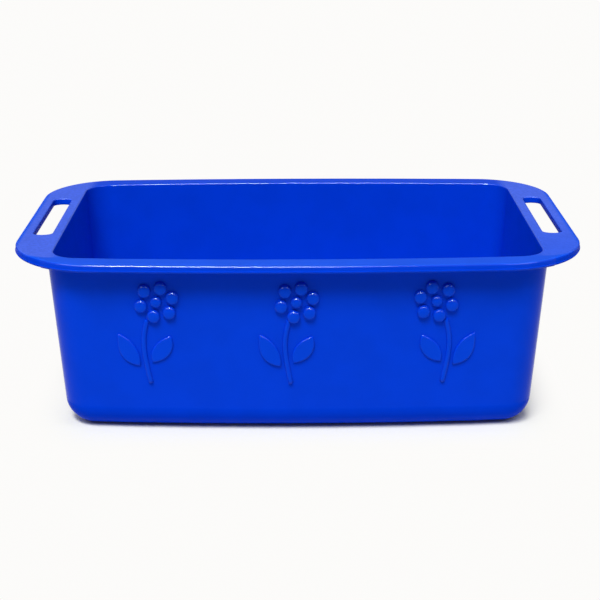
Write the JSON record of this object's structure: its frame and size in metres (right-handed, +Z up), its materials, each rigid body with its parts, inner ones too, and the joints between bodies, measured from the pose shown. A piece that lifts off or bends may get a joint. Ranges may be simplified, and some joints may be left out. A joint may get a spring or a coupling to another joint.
{
  "type": "washing basin",
  "caption": "Rectangular plastic washing basin with a flat rim, a slotted handle at each end and embossed flowers on its front wall.",
  "frame": {"origin": "on the ground under the middle of the basin", "axes": "+X along the length, towards the right-hand handle as seen from the flowered front; -Y out of the front wall with the flowers; +Z up"},
  "size_m": [0.48, 0.29, 0.156],
  "materials": {
    "blue_plastic": "glossy injection-moulded polypropylene, saturated blue"
  },
  "bodies": {
    "root": {"floor": "blue_plastic", "front_wall": "blue_plastic", "back_wall": "blue_plastic", "left_wall": "blue_plastic", "right_wall": "blue_plastic", "corner_front_left": "blue_plastic", "corner_front_right": "blue_plastic", "corner_back_left": "blue_plastic", "corner_back_right": "blue_plastic", "rim_front": "blue_plastic", "rim_back": "blue_plastic", "handle_left": "blue_plastic", "handle_right": "blue_plastic"}
  },
  "joints": []
}
